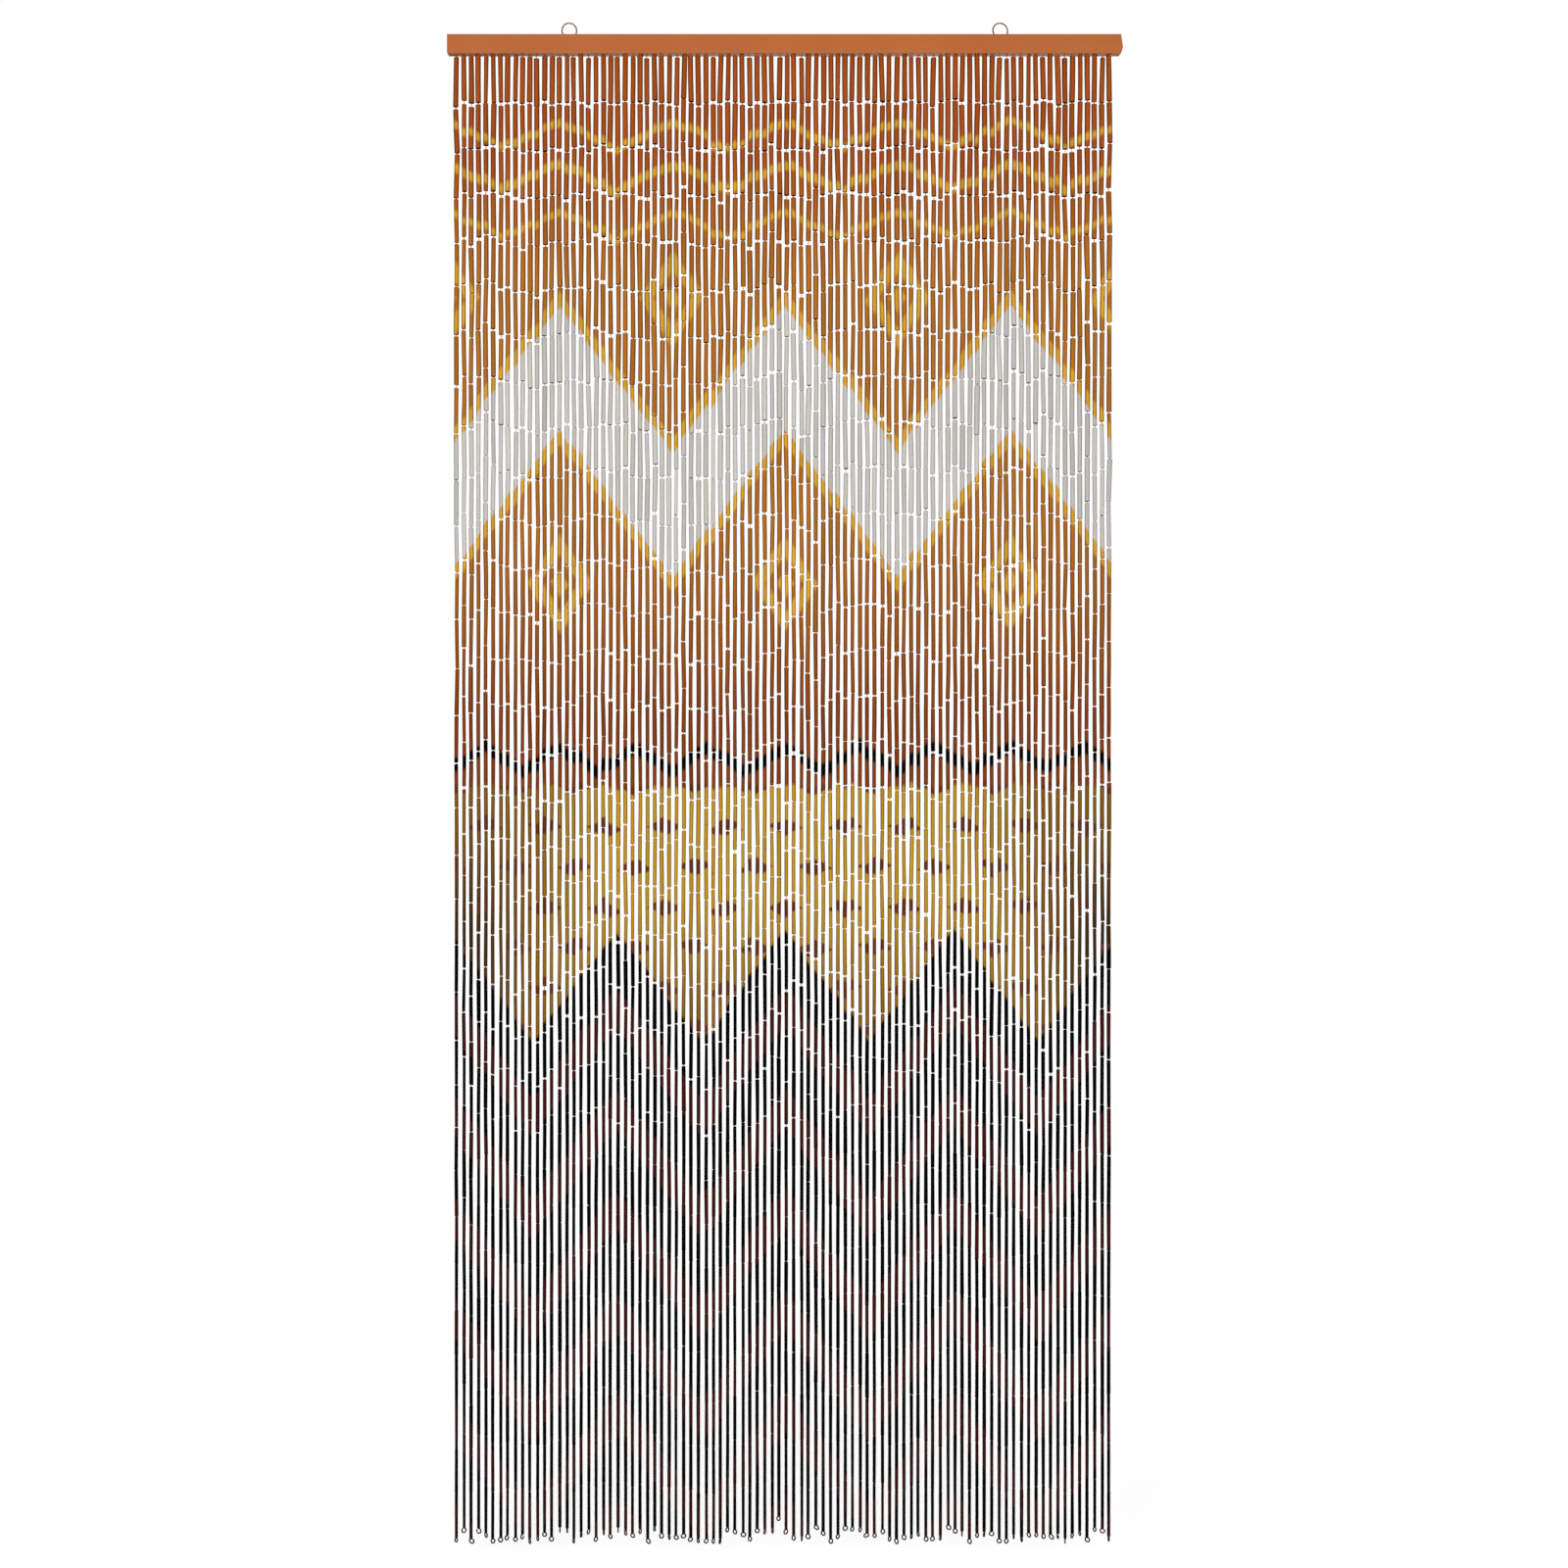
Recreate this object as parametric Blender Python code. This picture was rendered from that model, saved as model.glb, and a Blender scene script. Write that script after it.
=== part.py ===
"""Bamboo door curtain: ninety strands of bamboo beads that hang from a painted wooden rail.

The rail's back face lies in the plane Y = 0, against the wall, and the curtain faces -Y.
The origin is the middle of that back face. +X is to the right as seen from the front and +Z is up.
"""

import math

import bmesh
import bpy
import numpy as np

MM = 0.001

# The rail, a sawn batten
RAIL_LENGTH = 900 * MM
RAIL_HEIGHT = 26 * MM
RAIL_DEPTH = 15 * MM
EDGE_ROUNDING = 0.8 * MM
RAIL_TOP = RAIL_HEIGHT / 2
RAIL_UNDERSIDE = -RAIL_HEIGHT / 2

# The two screw eyes on top of the rail
EYE_WIRE = 1.9 * MM
EYE_FROM_MIDDLE = 288 * MM
EYE_BEHIND_FRONT = 11 * MM
EYE_HALF_WIDTH = 9.7 * MM
EYE_RISE = 17.5 * MM
EYE_CENTRE = 7.6 * MM
EYE_FOOT = 1.4 * MM
EYE_SHANK = 9 * MM
EYE_SQUARENESS = 0.3
EYE_END_GAP = 1.9 * MM
PILOT_HOLE_DEPTH = 10 * MM
CLEARANCE = 0.3 * MM

# The strands
STRANDS = 90
STRANDS_PER_PANEL = 30
FIRST_STRAND_X = -438 * MM
STRAND_PITCH = 9.78 * MM
STRAND_Y = -RAIL_DEPTH / 2
BEADS = 32
BEAD_PITCH = 61.55 * MM
BEAD_PITCH_SPREAD = 1.0 * MM
BEAD_PITCH_LIMIT = 4.5 * MM
DRIFT_STEP = 2.3 * MM
DRIFT_STEP_LIMIT = 6 * MM
STRAND_DRIFT = 0.4 * MM
LAST_FREE_JOINT = 21
CLOSEST_HANG = 1.5 * MM
LOWEST_HANG = 6.2 * MM
HANG_BIAS = 2.2
SWAY_AT_TOP = 0.65 * MM
SWAY_AT_END = 0.05 * MM
SWAY_LIMIT = 1.1 * MM
LEAN_AT_END = 0.6 * MM
LEAN_LIMIT = 0.9 * MM
SEED = 90

# Strands that end well above or below their neighbours: strand number, how much longer it is
ODD_STRANDS = ((16, 9 * MM), (33, 9 * MM), (44, -18 * MM))
LOWEST_BEAD_END = -1992 * MM

# Mean bead diameter down a strand: joint number counted from the rail, diameter there
BEAD_DIAMETERS = (
    (0, 7.0 * MM),
    (5, 6.7 * MM),
    (13, 5.9 * MM),
    (16, 5.5 * MM),
    (22, 5.0 * MM),
    (32, 4.1 * MM),
)

# The wire: the neck that hangs each strand, and the open loop under its last bead
NECK = 1.6 * MM
SHOULDER = 0.5 * MM
LOOP_WIDTH = 7.2 * MM
LOOP_HEIGHT = 8 * MM
LOOP_WIRE = 1.8 * MM
LOOP_TURN_SPREAD = 0.9

# The strip that the necks are fused into, close under the rail
STRIP_THICKNESS = 1.2 * MM
STRIP_DEPTH = 5 * MM
STRIP_OVERHANG = 3.5 * MM

# Finishes: name, colour, roughness, metallic
RAIL_PAINT = ("rail_paint", (0.49, 0.153, 0.048), 0.5, 0.0)
EYE_STEEL = ("screw_eye_steel", (0.24, 0.17, 0.13), 0.4, 1.0)
RUST = ("rust_paint", (0.30, 0.075, 0.02), 0.55, 0.0)
AMBER = ("amber_paint", (0.36, 0.13, 0.028), 0.55, 0.0)
BRICK = ("brick_paint", (0.2, 0.05, 0.018), 0.55, 0.0)
OCHRE = ("ochre_paint", (0.36, 0.2, 0.035), 0.55, 0.0)
BLACK = ("black_paint", (0.012, 0.009, 0.008), 0.5, 0.0)

# Paint of the strand between one joint of BEAD_DIAMETERS and the next
BAND_PAINTS = (RUST, AMBER, BRICK, OCHRE, BLACK)


def clear_scene():
    for obj in list(bpy.data.objects):
        bpy.data.objects.remove(obj)


def finish(name, colour, roughness, metallic):
    """The material of that name, made once."""
    if name in bpy.data.materials:
        return bpy.data.materials[name]
    material = bpy.data.materials.new(name)
    material.use_nodes = True
    shader = material.node_tree.nodes["Principled BSDF"]
    shader.inputs["Base Color"].default_value = (*colour, 1.0)
    shader.inputs["Roughness"].default_value = roughness
    shader.inputs["Metallic"].default_value = metallic
    return material


def new_object(name, data, *paints):
    obj = bpy.data.objects.new(name, data)
    bpy.context.scene.collection.objects.link(obj)
    for paint in paints:
        data.materials.append(finish(*paint))
    return obj


def boolean(obj, other, operation):
    modifier = obj.modifiers.new(operation.lower(), "BOOLEAN")
    modifier.operation = operation
    modifier.solver = "EXACT"
    modifier.object = other
    other.hide_render = True
    other.display_type = "WIRE"


def rail():
    """The batten. Its left end is sawn square, and its right end bows out and has a broken lower corner."""
    left, right = -RAIL_LENGTH / 2, RAIL_LENGTH / 2
    outline = [
        (left, RAIL_TOP),
        (left, RAIL_UNDERSIDE + 1.6 * MM),
        (left + 1.2 * MM, RAIL_UNDERSIDE),
        (right - 4.0 * MM, RAIL_UNDERSIDE),
        (right - 1.2 * MM, RAIL_UNDERSIDE + 4.0 * MM),
        (right, RAIL_UNDERSIDE + 9.0 * MM),
        (right - 2.4 * MM, RAIL_TOP),
    ]
    mesh = bmesh.new()
    front = mesh.faces.new([mesh.verts.new((x, -RAIL_DEPTH, z)) for x, z in outline])
    pulled = bmesh.ops.extrude_face_region(mesh, geom=[front])["geom"]
    back = [item for item in pulled if isinstance(item, bmesh.types.BMVert)]
    bmesh.ops.translate(mesh, verts=back, vec=(0, RAIL_DEPTH, 0))
    bmesh.ops.recalc_face_normals(mesh, faces=mesh.faces)
    data = bpy.data.meshes.new("rail")
    mesh.to_mesh(data)
    mesh.free()
    obj = new_object("rail", data, RAIL_PAINT)
    rounding = obj.modifiers.new("rounded edges", "BEVEL")
    rounding.width = EDGE_ROUNDING
    rounding.segments = 2
    rounding.limit_method = "ANGLE"
    rounding.angle_limit = math.radians(40)
    boolean(obj, pilot_holes(), "DIFFERENCE")
    return obj


def pilot_holes():
    """Cutter for the two holes that the shanks of the screw eyes stand in."""
    over = 2 * MM
    depth = PILOT_HOLE_DEPTH + over
    mesh = bmesh.new()
    for side in (-1, 1):
        made = bmesh.ops.create_cone(
            mesh,
            cap_ends=True,
            segments=12,
            radius1=EYE_WIRE / 2 + CLEARANCE,
            radius2=EYE_WIRE / 2 + CLEARANCE,
            depth=depth,
        )
        middle = RAIL_TOP - PILOT_HOLE_DEPTH + depth / 2
        place = (side * EYE_FROM_MIDDLE, -RAIL_DEPTH + EYE_BEHIND_FRONT, middle)
        bmesh.ops.translate(mesh, verts=made["verts"], vec=place)
    data = bpy.data.meshes.new("pilot_holes")
    mesh.to_mesh(data)
    mesh.free()
    return new_object("pilot_holes", data)


def eye_route(lean):
    """Points of a screw eye's wire: up the shank, round the ring and back to just short of the shank.

    The ring is half an ellipse above its centre. Below it the ring is flatter, with square corners,
    and runs flat along the wood.
    lean pushes the upper part sideways, in proportion to its height.
    """
    half_height = {True: EYE_RISE - EYE_CENTRE, False: EYE_CENTRE - EYE_FOOT}
    route = [(0, -EYE_SHANK), (0, -EYE_SHANK / 2), (0, -0.3 * MM), (0.35 * MM, 0.75 * MM)]
    start, end, steps = -84, 265, 32
    for step in range(steps + 1):
        angle = math.radians(start + (end - start) * step / steps)
        across = math.cos(angle)
        if angle < 0 or angle > math.pi:
            across = math.copysign(abs(across) ** EYE_SQUARENESS, across)
        x = EYE_HALF_WIDTH * across
        z = EYE_CENTRE + half_height[math.sin(angle) > 0] * math.sin(angle)
        route.append((x + lean * (z - EYE_FOOT), z))
    route.append((-EYE_END_GAP, EYE_FOOT))
    return route


def screw_eye(name, side, turn_degrees, lean):
    """A wire ring on a shank, turned a little about the shank as such eyes end up."""
    data = bpy.data.curves.new(name, "CURVE")
    data.dimensions = "3D"
    data.bevel_depth = EYE_WIRE / 2
    data.bevel_resolution = 2
    data.use_fill_caps = True
    route = eye_route(lean)
    spline = data.splines.new("POLY")
    spline.points.add(len(route) - 1)
    for point, (x, z) in zip(spline.points, route):
        point.co = (x, 0, z, 1)
    obj = new_object(name, data, EYE_STEEL)
    obj.location = (side * EYE_FROM_MIDDLE, -RAIL_DEPTH + EYE_BEHIND_FRONT, RAIL_TOP)
    obj.rotation_euler = (0, 0, math.radians(turn_degrees))
    return obj


def hung_strands():
    """Joint points of all strands, and the turn of each end loop.

    Joint 0 is the top of the first bead and joint 32 the foot of the last. Most strands start close
    under the rail. Bead lengths differ, so the joints drift apart down the curtain, and the last
    beads of a strand are cut to bring it back to length. Each joint stands a little off plumb, less
    so lower down, and each strand leans a little as a whole.
    """
    random = np.random.default_rng(SEED)
    pitch = random.normal(BEAD_PITCH, BEAD_PITCH_SPREAD, (STRANDS, BEADS))
    pitch = np.clip(pitch, BEAD_PITCH - BEAD_PITCH_LIMIT, BEAD_PITCH + BEAD_PITCH_LIMIT)
    gap = CLOSEST_HANG + (LOWEST_HANG - CLOSEST_HANG) * random.uniform(0, 1, STRANDS) ** HANG_BIAS
    sway = random.normal(0, 1, (STRANDS, BEADS + 1, 2))
    loop_turn = random.normal(0, LOOP_TURN_SPREAD, STRANDS)
    lean = np.clip(random.normal(0, LEAN_AT_END, STRANDS), -LEAN_LIMIT, LEAN_LIMIT)
    drift = random.normal(0, DRIFT_STEP, (STRANDS, BEADS))
    drift = np.clip(drift, -DRIFT_STEP_LIMIT, DRIFT_STEP_LIMIT)
    drift = np.cumsum(drift + random.normal(0, STRAND_DRIFT, (STRANDS, 1)), axis=1)
    for strand, longer in ODD_STRANDS:
        pitch[strand] += longer / BEADS
    down = np.concatenate([np.zeros((STRANDS, 1)), np.cumsum(pitch, axis=1)], axis=1)
    spare = RAIL_UNDERSIDE - gap - LOWEST_BEAD_END
    down *= np.minimum(1, spare / down[:, -1])[:, None]
    beads_below = np.arange(BEADS - 1, -1, -1)
    down[:, 1:] += drift * np.minimum(1, beads_below / (BEADS - LAST_FREE_JOINT))
    sway *= np.linspace(SWAY_AT_TOP, SWAY_AT_END, BEADS + 1)[None, :, None]
    sway = np.clip(sway, -SWAY_LIMIT, SWAY_LIMIT)
    joints = np.zeros((STRANDS, BEADS + 1, 3))
    joints[:, :, 0] = FIRST_STRAND_X + STRAND_PITCH * np.arange(STRANDS)[:, None] + sway[:, :, 0]
    joints[:, :, 0] += lean[:, None] * np.linspace(0, 1, BEADS + 1)
    joints[:, :, 1] = STRAND_Y + sway[:, :, 1]
    joints[:, :, 2] = RAIL_UNDERSIDE - gap[:, None] - down
    return joints, loop_turn


def diamond(centre, width, depth, turn=0.0):
    """Four corners round a strand: left, front, right and back, turned about the vertical."""
    corners = []
    for x, y in ((-width / 2, 0), (0, -depth / 2), (width / 2, 0), (0, depth / 2)):
        across = x * math.cos(turn) - y * math.sin(turn)
        along = x * math.sin(turn) + y * math.cos(turn)
        corners.append((centre[0] + across, centre[1] + along, centre[2]))
    return corners


def strand_sections(joints, loop_turn):
    """The four-sided sections of one strand from its root in the strip down to its end loop."""
    top, foot = joints[0], joints[-1]
    root_z = RAIL_UNDERSIDE - CLEARANCE - STRIP_THICKNESS / 2
    sections = [
        diamond((top[0], STRAND_Y, root_z), NECK, NECK),
        diamond((top[0], top[1], top[2] + SHOULDER / 2), NECK, NECK),
    ]
    for number, diameter in BEAD_DIAMETERS:
        sections.append(diamond(joints[number], diameter, diameter))
    loop_middle = foot - (0, 0, LOOP_HEIGHT / 2)
    loop_foot = foot - (0, 0, LOOP_HEIGHT)
    sections.append(diamond(foot - (0, 0, SHOULDER), NECK, NECK, loop_turn))
    sections.append(diamond(loop_middle, LOOP_WIDTH, LOOP_WIRE, loop_turn))
    sections.append(diamond(loop_foot, 2 * LOOP_WIRE, LOOP_WIRE, loop_turn))
    return sections


def skin(sections, first):
    """Faces that join one section to the next, with both ends closed, and the paint of each face."""
    root_and_shoulder = 2
    faces = [(first + 3, first + 2, first + 1, first)]
    paints = [0]
    for ring in range(len(sections) - 1):
        band = min(max(ring - root_and_shoulder, 0), len(BAND_PAINTS) - 1)
        upper = first + 4 * ring
        for side in range(4):
            after = (side + 1) % 4
            faces.append((upper + side, upper + after, upper + 4 + after, upper + 4 + side))
            paints.append(band)
    last = first + 4 * (len(sections) - 1)
    faces.append((last, last + 1, last + 2, last + 3))
    paints.append(len(BAND_PAINTS) - 1)
    return faces, paints


def panel(name, joints, loop_turns):
    """A run of strands that hang side by side, with their roots fused into one strip."""
    points, faces, paints = [], [], []
    for strand, turn in zip(joints, loop_turns):
        sections = strand_sections(strand, turn)
        made, paint = skin(sections, len(points))
        points += [corner for section in sections for corner in section]
        faces += made
        paints += paint
    data = bpy.data.meshes.new(name + "_strands")
    data.from_pydata(points, [], faces)
    hanging = new_object(name + "_strands", data, *BAND_PAINTS)
    data.polygons.foreach_set("material_index", paints)
    turn_outwards(data)

    left = joints[0, 0, 0] - STRIP_OVERHANG
    right = joints[-1, 0, 0] + STRIP_OVERHANG
    strip_z = RAIL_UNDERSIDE - CLEARANCE - STRIP_THICKNESS / 2
    mesh = bmesh.new()
    bmesh.ops.create_cube(mesh, size=1)
    bmesh.ops.scale(mesh, verts=mesh.verts, vec=(right - left, STRIP_DEPTH, STRIP_THICKNESS))
    bmesh.ops.translate(mesh, verts=mesh.verts, vec=((left + right) / 2, STRAND_Y, strip_z))
    data = bpy.data.meshes.new(name)
    mesh.to_mesh(data)
    mesh.free()
    obj = new_object(name, data, *BAND_PAINTS)
    boolean(obj, hanging, "UNION")
    return obj


def turn_outwards(data):
    mesh = bmesh.new()
    mesh.from_mesh(data)
    bmesh.ops.recalc_face_normals(mesh, faces=mesh.faces)
    mesh.to_mesh(data)
    mesh.free()


def build():
    clear_scene()
    rail()
    screw_eye("screw_eye_left", -1, turn_degrees=4, lean=0.0)
    screw_eye("screw_eye_right", 1, turn_degrees=-9, lean=-0.1)
    joints, loop_turns = hung_strands()
    for number, place in enumerate(("left", "middle", "right")):
        run = slice(number * STRANDS_PER_PANEL, (number + 1) * STRANDS_PER_PANEL)
        panel("strands_" + place, joints[run], loop_turns[run])


build()
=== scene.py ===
# %% [markdown]
# Bamboo door curtain with its rail
#
# Ninety strands of painted bamboo beads hang from a painted wooden rail. The solids that are loaded
# first give the rail, the two screw eyes on top of it, and each strand as a plain four-sided string.
# This lesson keeps the rail and dresses everything else: hollow beads, the wire links that carry
# them, the staples under the rail, the open loops at the foot, and the paint on all of them.

# %% Load the frame
import math

import bpy
import numpy as np
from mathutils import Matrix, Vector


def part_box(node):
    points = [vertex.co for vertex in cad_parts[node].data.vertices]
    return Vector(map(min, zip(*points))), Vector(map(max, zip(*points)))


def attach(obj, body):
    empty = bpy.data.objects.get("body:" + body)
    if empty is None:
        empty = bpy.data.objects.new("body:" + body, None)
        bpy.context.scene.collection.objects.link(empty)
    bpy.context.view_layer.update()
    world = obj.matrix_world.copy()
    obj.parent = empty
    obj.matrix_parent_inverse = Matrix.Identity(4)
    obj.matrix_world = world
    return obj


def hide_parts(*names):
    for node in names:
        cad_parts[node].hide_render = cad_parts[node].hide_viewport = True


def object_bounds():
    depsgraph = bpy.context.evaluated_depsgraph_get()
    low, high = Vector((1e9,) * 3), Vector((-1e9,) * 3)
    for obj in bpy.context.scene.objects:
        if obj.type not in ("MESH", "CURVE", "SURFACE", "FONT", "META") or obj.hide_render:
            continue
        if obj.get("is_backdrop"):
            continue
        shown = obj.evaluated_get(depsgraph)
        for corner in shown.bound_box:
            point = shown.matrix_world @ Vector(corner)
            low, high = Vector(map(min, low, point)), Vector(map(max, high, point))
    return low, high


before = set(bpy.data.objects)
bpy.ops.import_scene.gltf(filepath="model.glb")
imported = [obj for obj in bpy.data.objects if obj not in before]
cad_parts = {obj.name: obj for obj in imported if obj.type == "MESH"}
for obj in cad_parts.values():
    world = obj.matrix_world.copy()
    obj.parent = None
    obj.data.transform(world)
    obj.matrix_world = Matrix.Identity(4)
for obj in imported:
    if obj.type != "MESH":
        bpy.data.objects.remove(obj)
BODY = "root"
MM = 0.001
print("solids:", ", ".join(sorted(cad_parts)))

# %% [markdown]
# The dressed curtain must fill the same room as the solids, so their box is kept now, and the
# finished one is printed at the end. The rail's own box gives the heights that later cells hang from.

# %% Sizes that come from the solids
solid_box = [list(corner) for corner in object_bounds()]
rail_low, rail_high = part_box("rail")
RAIL_TOP = rail_high.z
RAIL_UNDERSIDE = rail_low.z
RAIL_DEPTH = rail_high.y - rail_low.y
RAIL_WIDTH = rail_high.x - rail_low.x
CURTAIN_FOOT = solid_box[0][2]
print("rail", round(RAIL_WIDTH, 4), "wide; curtain foot at", round(CURTAIN_FOOT, 4))

# %% [markdown]
# The photograph is taken square on, from about 3.3 m away, with the lens level with the middle of
# the curtain. The rail covers 690 of the 1600 pixels across, which sets the width of the view, and
# the distance and that width set the lens.

# %% Camera
PHOTO_PIXELS = 1600
RAIL_PIXELS = 690
RAIL_MIDDLE_PIXEL = 801
RAIL_TOP_PIXEL = 34.5
CAMERA_DISTANCE = 3.3
SENSOR = 36.0

metres_per_pixel = RAIL_WIDTH / RAIL_PIXELS
view_width = metres_per_pixel * PHOTO_PIXELS
camera_data = bpy.data.cameras.new("camera")
camera_data.sensor_width = SENSOR
camera_data.lens = SENSOR * CAMERA_DISTANCE / view_width
camera = bpy.data.objects.new("camera", camera_data)
camera.location = (
    (PHOTO_PIXELS / 2 - RAIL_MIDDLE_PIXEL) * metres_per_pixel,
    rail_low.y - CAMERA_DISTANCE,
    RAIL_TOP - (PHOTO_PIXELS / 2 - RAIL_TOP_PIXEL) * metres_per_pixel,
)
camera.rotation_euler = (math.radians(90), 0, 0)
bpy.context.scene.collection.objects.link(camera)
bpy.context.scene.camera = camera
print("lens", round(camera_data.lens, 1), "mm, height", round(camera.location.z, 3))

# %% [markdown]
# The curtain was photographed for a catalogue, on white. Here it hangs over a round pale floor, a
# little below the end loops. The floor is a single many-sided face, which is all a flat disc needs.

# %% Floor
FLOOR_DROP = 30 * MM
FLOOR_RADIUS = 1.2
FLOOR_SIDES = 96

floor_angles = np.linspace(0, 2 * math.pi, FLOOR_SIDES, endpoint=False)
floor_rim = np.stack(
    [
        FLOOR_RADIUS * np.cos(floor_angles),
        FLOOR_RADIUS * np.sin(floor_angles),
        np.full(FLOOR_SIDES, CURTAIN_FOOT - FLOOR_DROP),
    ],
    axis=1,
)
floor_mesh = bpy.data.meshes.new("floor")
floor_mesh.from_pydata(floor_rim.tolist(), [], [list(range(FLOOR_SIDES))])
floor = bpy.data.objects.new("floor", floor_mesh)
bpy.context.scene.collection.objects.link(floor)
floor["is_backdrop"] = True
print("floor", 2 * FLOOR_RADIUS, "m across")

# %% [markdown]
# The light is soft, so it comes from large panels: two in front, either side of the camera, a wide
# one overhead that whitens the floor, and one behind, so that the back is lit too.

# %% Lights
LIGHT_PANELS = (
    # name, place, point that it faces, width, height, watts
    ("front_left", (-1.15, -3.5, -0.5), (0, 0, -0.9), 1.0, 2.4, 84),
    ("front_right", (1.15, -3.5, -0.7), (0, 0, -0.9), 1.0, 2.4, 70),
    ("overhead", (0, 0, 3.5), (0, 0, -2.0), 3.0, 3.0, 70),
    ("behind", (0.2, 3.2, -0.1), (0, 0, -0.9), 2.0, 2.0, 60),
)


def light_panel(name, place, target, width, height, watts):
    """A rectangle of light whose face looks at the target point."""
    data = bpy.data.lights.new(name, "AREA")
    data.shape = "RECTANGLE"
    data.size = width
    data.size_y = height
    data.energy = watts
    panel = bpy.data.objects.new(name, data)
    panel.location = place
    away = panel.location - type(panel.location)(target)
    panel.rotation_euler = away.to_track_quat("Z", "Y").to_euler()
    bpy.context.scene.collection.objects.link(panel)


for panel in LIGHT_PANELS:
    light_panel(*panel)
print("lights:", ", ".join(panel[0] for panel in LIGHT_PANELS))

# %% [markdown]
# The surroundings look white to the camera, but they light the curtain only dimly, less from below
# than from above, as a room does. A Light Path node tells the camera's rays from all the others,
# and a ramp over the height of each direction gives the light that comes from there.

# %% Surroundings
ROOM_LIGHT = (
    # height of the direction from 0, straight down, to 1, straight up; the light from there
    (0.30, (0.03, 0.03, 0.03, 1)),
    (0.55, (0.09, 0.09, 0.092, 1)),
    (1.00, (0.20, 0.20, 0.204, 1)),
)
WHITE = (1, 1, 1, 1)

world = bpy.data.worlds.new("studio")
world.use_nodes = True
bpy.context.scene.world = world
world_nodes = world.node_tree.nodes
world_links = world.node_tree.links
world_nodes.clear()
direction = world_nodes.new("ShaderNodeTexCoord")
height = world_nodes.new("ShaderNodeSeparateXYZ")
half = world_nodes.new("ShaderNodeMath")
half.operation = "MULTIPLY_ADD"
for factor_and_shift in half.inputs[1:3]:
    # height / 2 + 1 / 2 brings -1 to 1 into 0 to 1
    factor_and_shift.default_value = 1 / 2
room = world_nodes.new("ShaderNodeValToRGB")
room.color_ramp.elements.new(1 / 2)
for stop, (position, light) in zip(room.color_ramp.elements, ROOM_LIGHT):
    stop.position = position
    stop.color = light
seen = world_nodes.new("ShaderNodeLightPath")
dim = world_nodes.new("ShaderNodeBackground")
white = world_nodes.new("ShaderNodeBackground")
white.inputs["Color"].default_value = WHITE
either = world_nodes.new("ShaderNodeMixShader")
world_output = world_nodes.new("ShaderNodeOutputWorld")
world_links.new(direction.outputs["Generated"], height.inputs[0])
world_links.new(height.outputs["Z"], half.inputs[0])
world_links.new(half.outputs[0], room.inputs["Fac"])
world_links.new(room.outputs["Color"], dim.inputs["Color"])
world_links.new(seen.outputs["Is Camera Ray"], either.inputs[0])
world_links.new(dim.outputs[0], either.inputs[1])
world_links.new(white.outputs[0], either.inputs[2])
world_links.new(either.outputs[0], world_output.inputs["Surface"])
bpy.context.scene.view_settings.view_transform = "Standard"
print("surroundings have", len(world_nodes), "nodes")

# %% [markdown]
# A finish is a small network of nodes. Written as plain node calls it hides the thought behind it,
# so numbers that vary over a surface are held in a class that knows arithmetic: a sum of two of
# them adds the Math node that sums them.

# %% Numbers that vary over a surface


class Varying:
    """A number, colour or vector that varies over a surface: one output socket of a finish's nodes."""

    def __init__(self, finish, socket):
        self.finish = finish
        self.socket = socket

    def math(self, operation, first, second=0.0):
        return self.finish.node("ShaderNodeMath", {"operation": operation}, {0: first, 1: second})

    def __add__(self, other):
        return self.math("ADD", self, other)

    def __radd__(self, other):
        return self.math("ADD", other, self)

    def __sub__(self, other):
        return self.math("SUBTRACT", self, other)

    def __rsub__(self, other):
        return self.math("SUBTRACT", other, self)

    def __mul__(self, other):
        return self.math("MULTIPLY", self, other)

    def __rmul__(self, other):
        return self.math("MULTIPLY", other, self)

    def __truediv__(self, other):
        return self.math("DIVIDE", self, other)

    def __abs__(self):
        return self.math("ABSOLUTE", self)

    def most(self, other):
        return self.math("MAXIMUM", self, other)

    def floor(self):
        return self.math("FLOOR", self)

    def zigzag(self, repeat):
        """0 at every whole repeat and 1 half way between, with straight slopes."""
        return self.math("PINGPONG", self, repeat / 2) / (repeat / 2)

    def rises(self, edge, softness):
        """0 below the edge and 1 above it, with a smooth step as wide as the softness."""
        settings = {"interpolation_type": "SMOOTHSTEP"}
        ends = {"Value": self, "From Min": edge - softness / 2, "From Max": edge + softness / 2}
        return self.finish.node("ShaderNodeMapRange", settings, ends)

    def within(self, low, high, softness):
        """1 between two edges and 0 outside them."""
        return self.rises(low, softness) * (1 - self.rises(high, softness))


print("reflected operators:", ", ".join(name for name in vars(Varying) if name.startswith("__r")))

# %% [markdown]
# The finish itself adds every other node through one method: settings first, because some of them
# change a node's sockets, then the sockets' values or links. Short helpers name the nodes that
# are used often, such as noise, a mix of two colours, or the bump that stands for fine relief.

# %% A finish under construction


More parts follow.
